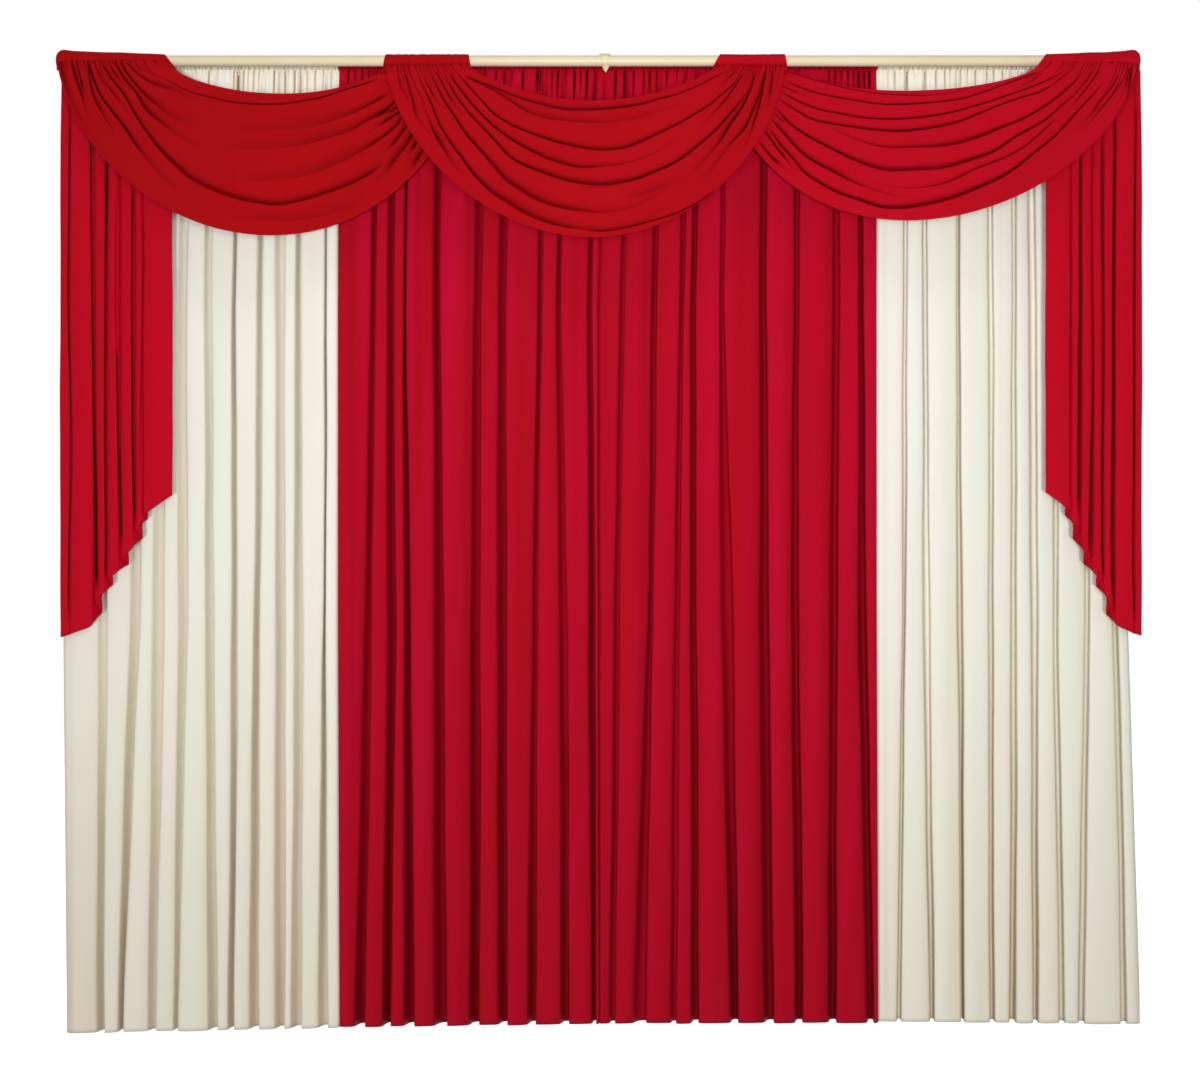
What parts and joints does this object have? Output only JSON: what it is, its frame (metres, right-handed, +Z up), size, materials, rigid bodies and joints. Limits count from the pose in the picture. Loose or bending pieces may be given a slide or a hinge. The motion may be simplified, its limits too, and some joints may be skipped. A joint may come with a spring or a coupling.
{
  "type": "window curtain on a double curtain rod",
  "caption": "Floor-length window curtain in red and cream jersey: gathered panels on a rear rod, draped swags and pleated side tails on a front rod, wall brackets holding both rods",
  "frame": {"origin": "middle of the wall face of the centre bracket's plate, level with the rear rod", "axes": "+X along the rods to the right of someone facing the curtain, +Y towards the wall, +Z up"},
  "size_m": [3.0329, 0.2353, 2.766],
  "materials": {
    "red_jersey": "smooth knitted jersey, slightly lustrous",
    "crimson_jersey": "smooth knitted jersey, slightly lustrous",
    "cream_jersey": "smooth knitted jersey, matt",
    "rod_enamel": "cream semi-gloss enamel"
  },
  "bodies": {
    "root": {"rod_front": "rod_enamel", "rod_rear": "rod_enamel", "bracket_left": "rod_enamel", "bracket_centre": "rod_enamel", "bracket_right": "rod_enamel", "casing_cream_left": "cream_jersey", "casing_red_left": "crimson_jersey", "casing_red_right": "crimson_jersey", "casing_cream_right": "cream_jersey", "panel_cream_left": "cream_jersey", "panel_red_left": "crimson_jersey", "panel_red_right": "crimson_jersey", "panel_cream_right": "cream_jersey", "sleeve_left": "red_jersey", "sleeve_mid_left": "red_jersey", "sleeve_mid_right": "red_jersey", "sleeve_right": "red_jersey", "swag_left": "red_jersey", "swag_centre": "red_jersey", "swag_right": "red_jersey", "tail_left": "red_jersey", "tail_right": "red_jersey"}
  },
  "joints": []
}
